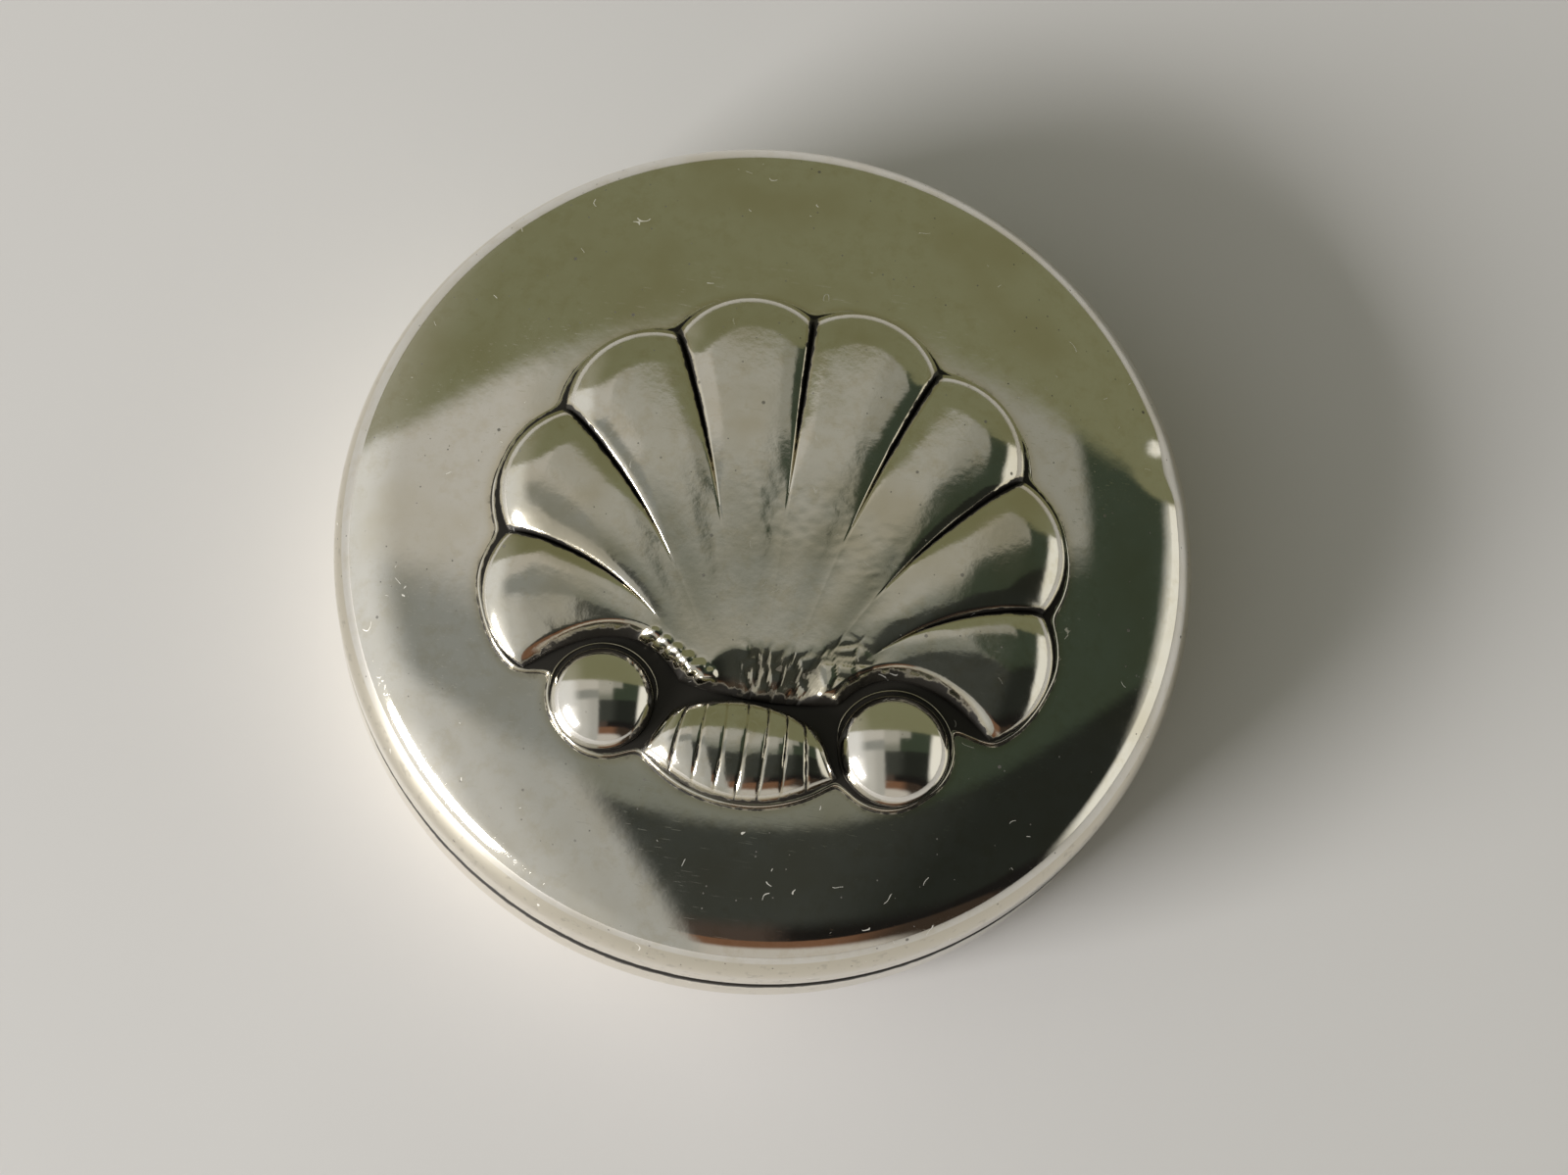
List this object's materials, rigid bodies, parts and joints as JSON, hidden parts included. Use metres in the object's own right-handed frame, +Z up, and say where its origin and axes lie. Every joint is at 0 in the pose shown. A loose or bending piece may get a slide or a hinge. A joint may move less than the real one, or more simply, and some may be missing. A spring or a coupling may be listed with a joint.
{
  "type": "pill box",
  "caption": "Small round silver pill box with a lift-off domed lid, a slip collar and a raised scallop-shell ornament.",
  "frame": {"origin": "centre of the box's flat underside, on the surface it rests on", "axes": "+Z up through the lid; +Y along the shell's own axis, from the ribbed barrel at its foot to the tips of its lobes; +X to the right when the shell is seen upright from above"},
  "size_m": [0.04, 0.04, 0.0126],
  "materials": {
    "polished_silver": "polished sterling silver with fine wear scratches",
    "inner_silver": "satin sterling silver, slightly tarnished",
    "relief_silver": "polished sterling silver with dark oxidised recesses",
    "bead_silver": "brightly polished sterling silver"
  },
  "bodies": {
    "base": {"base_cup": "polished_silver", "base_collar": "inner_silver"},
    "lid": {"lid_cap": "polished_silver", "ornament_plate": "relief_silver", "shell_fan": "relief_silver", "bead_left": "bead_silver", "bead_right": "bead_silver", "barrel_bead": "relief_silver"}
  },
  "joints": [
    {"name": "lid_lift", "type": "slide", "parent": "base", "child": "lid", "axis": [0, 0, 1], "range_m": [0, 0.02]}
  ]
}
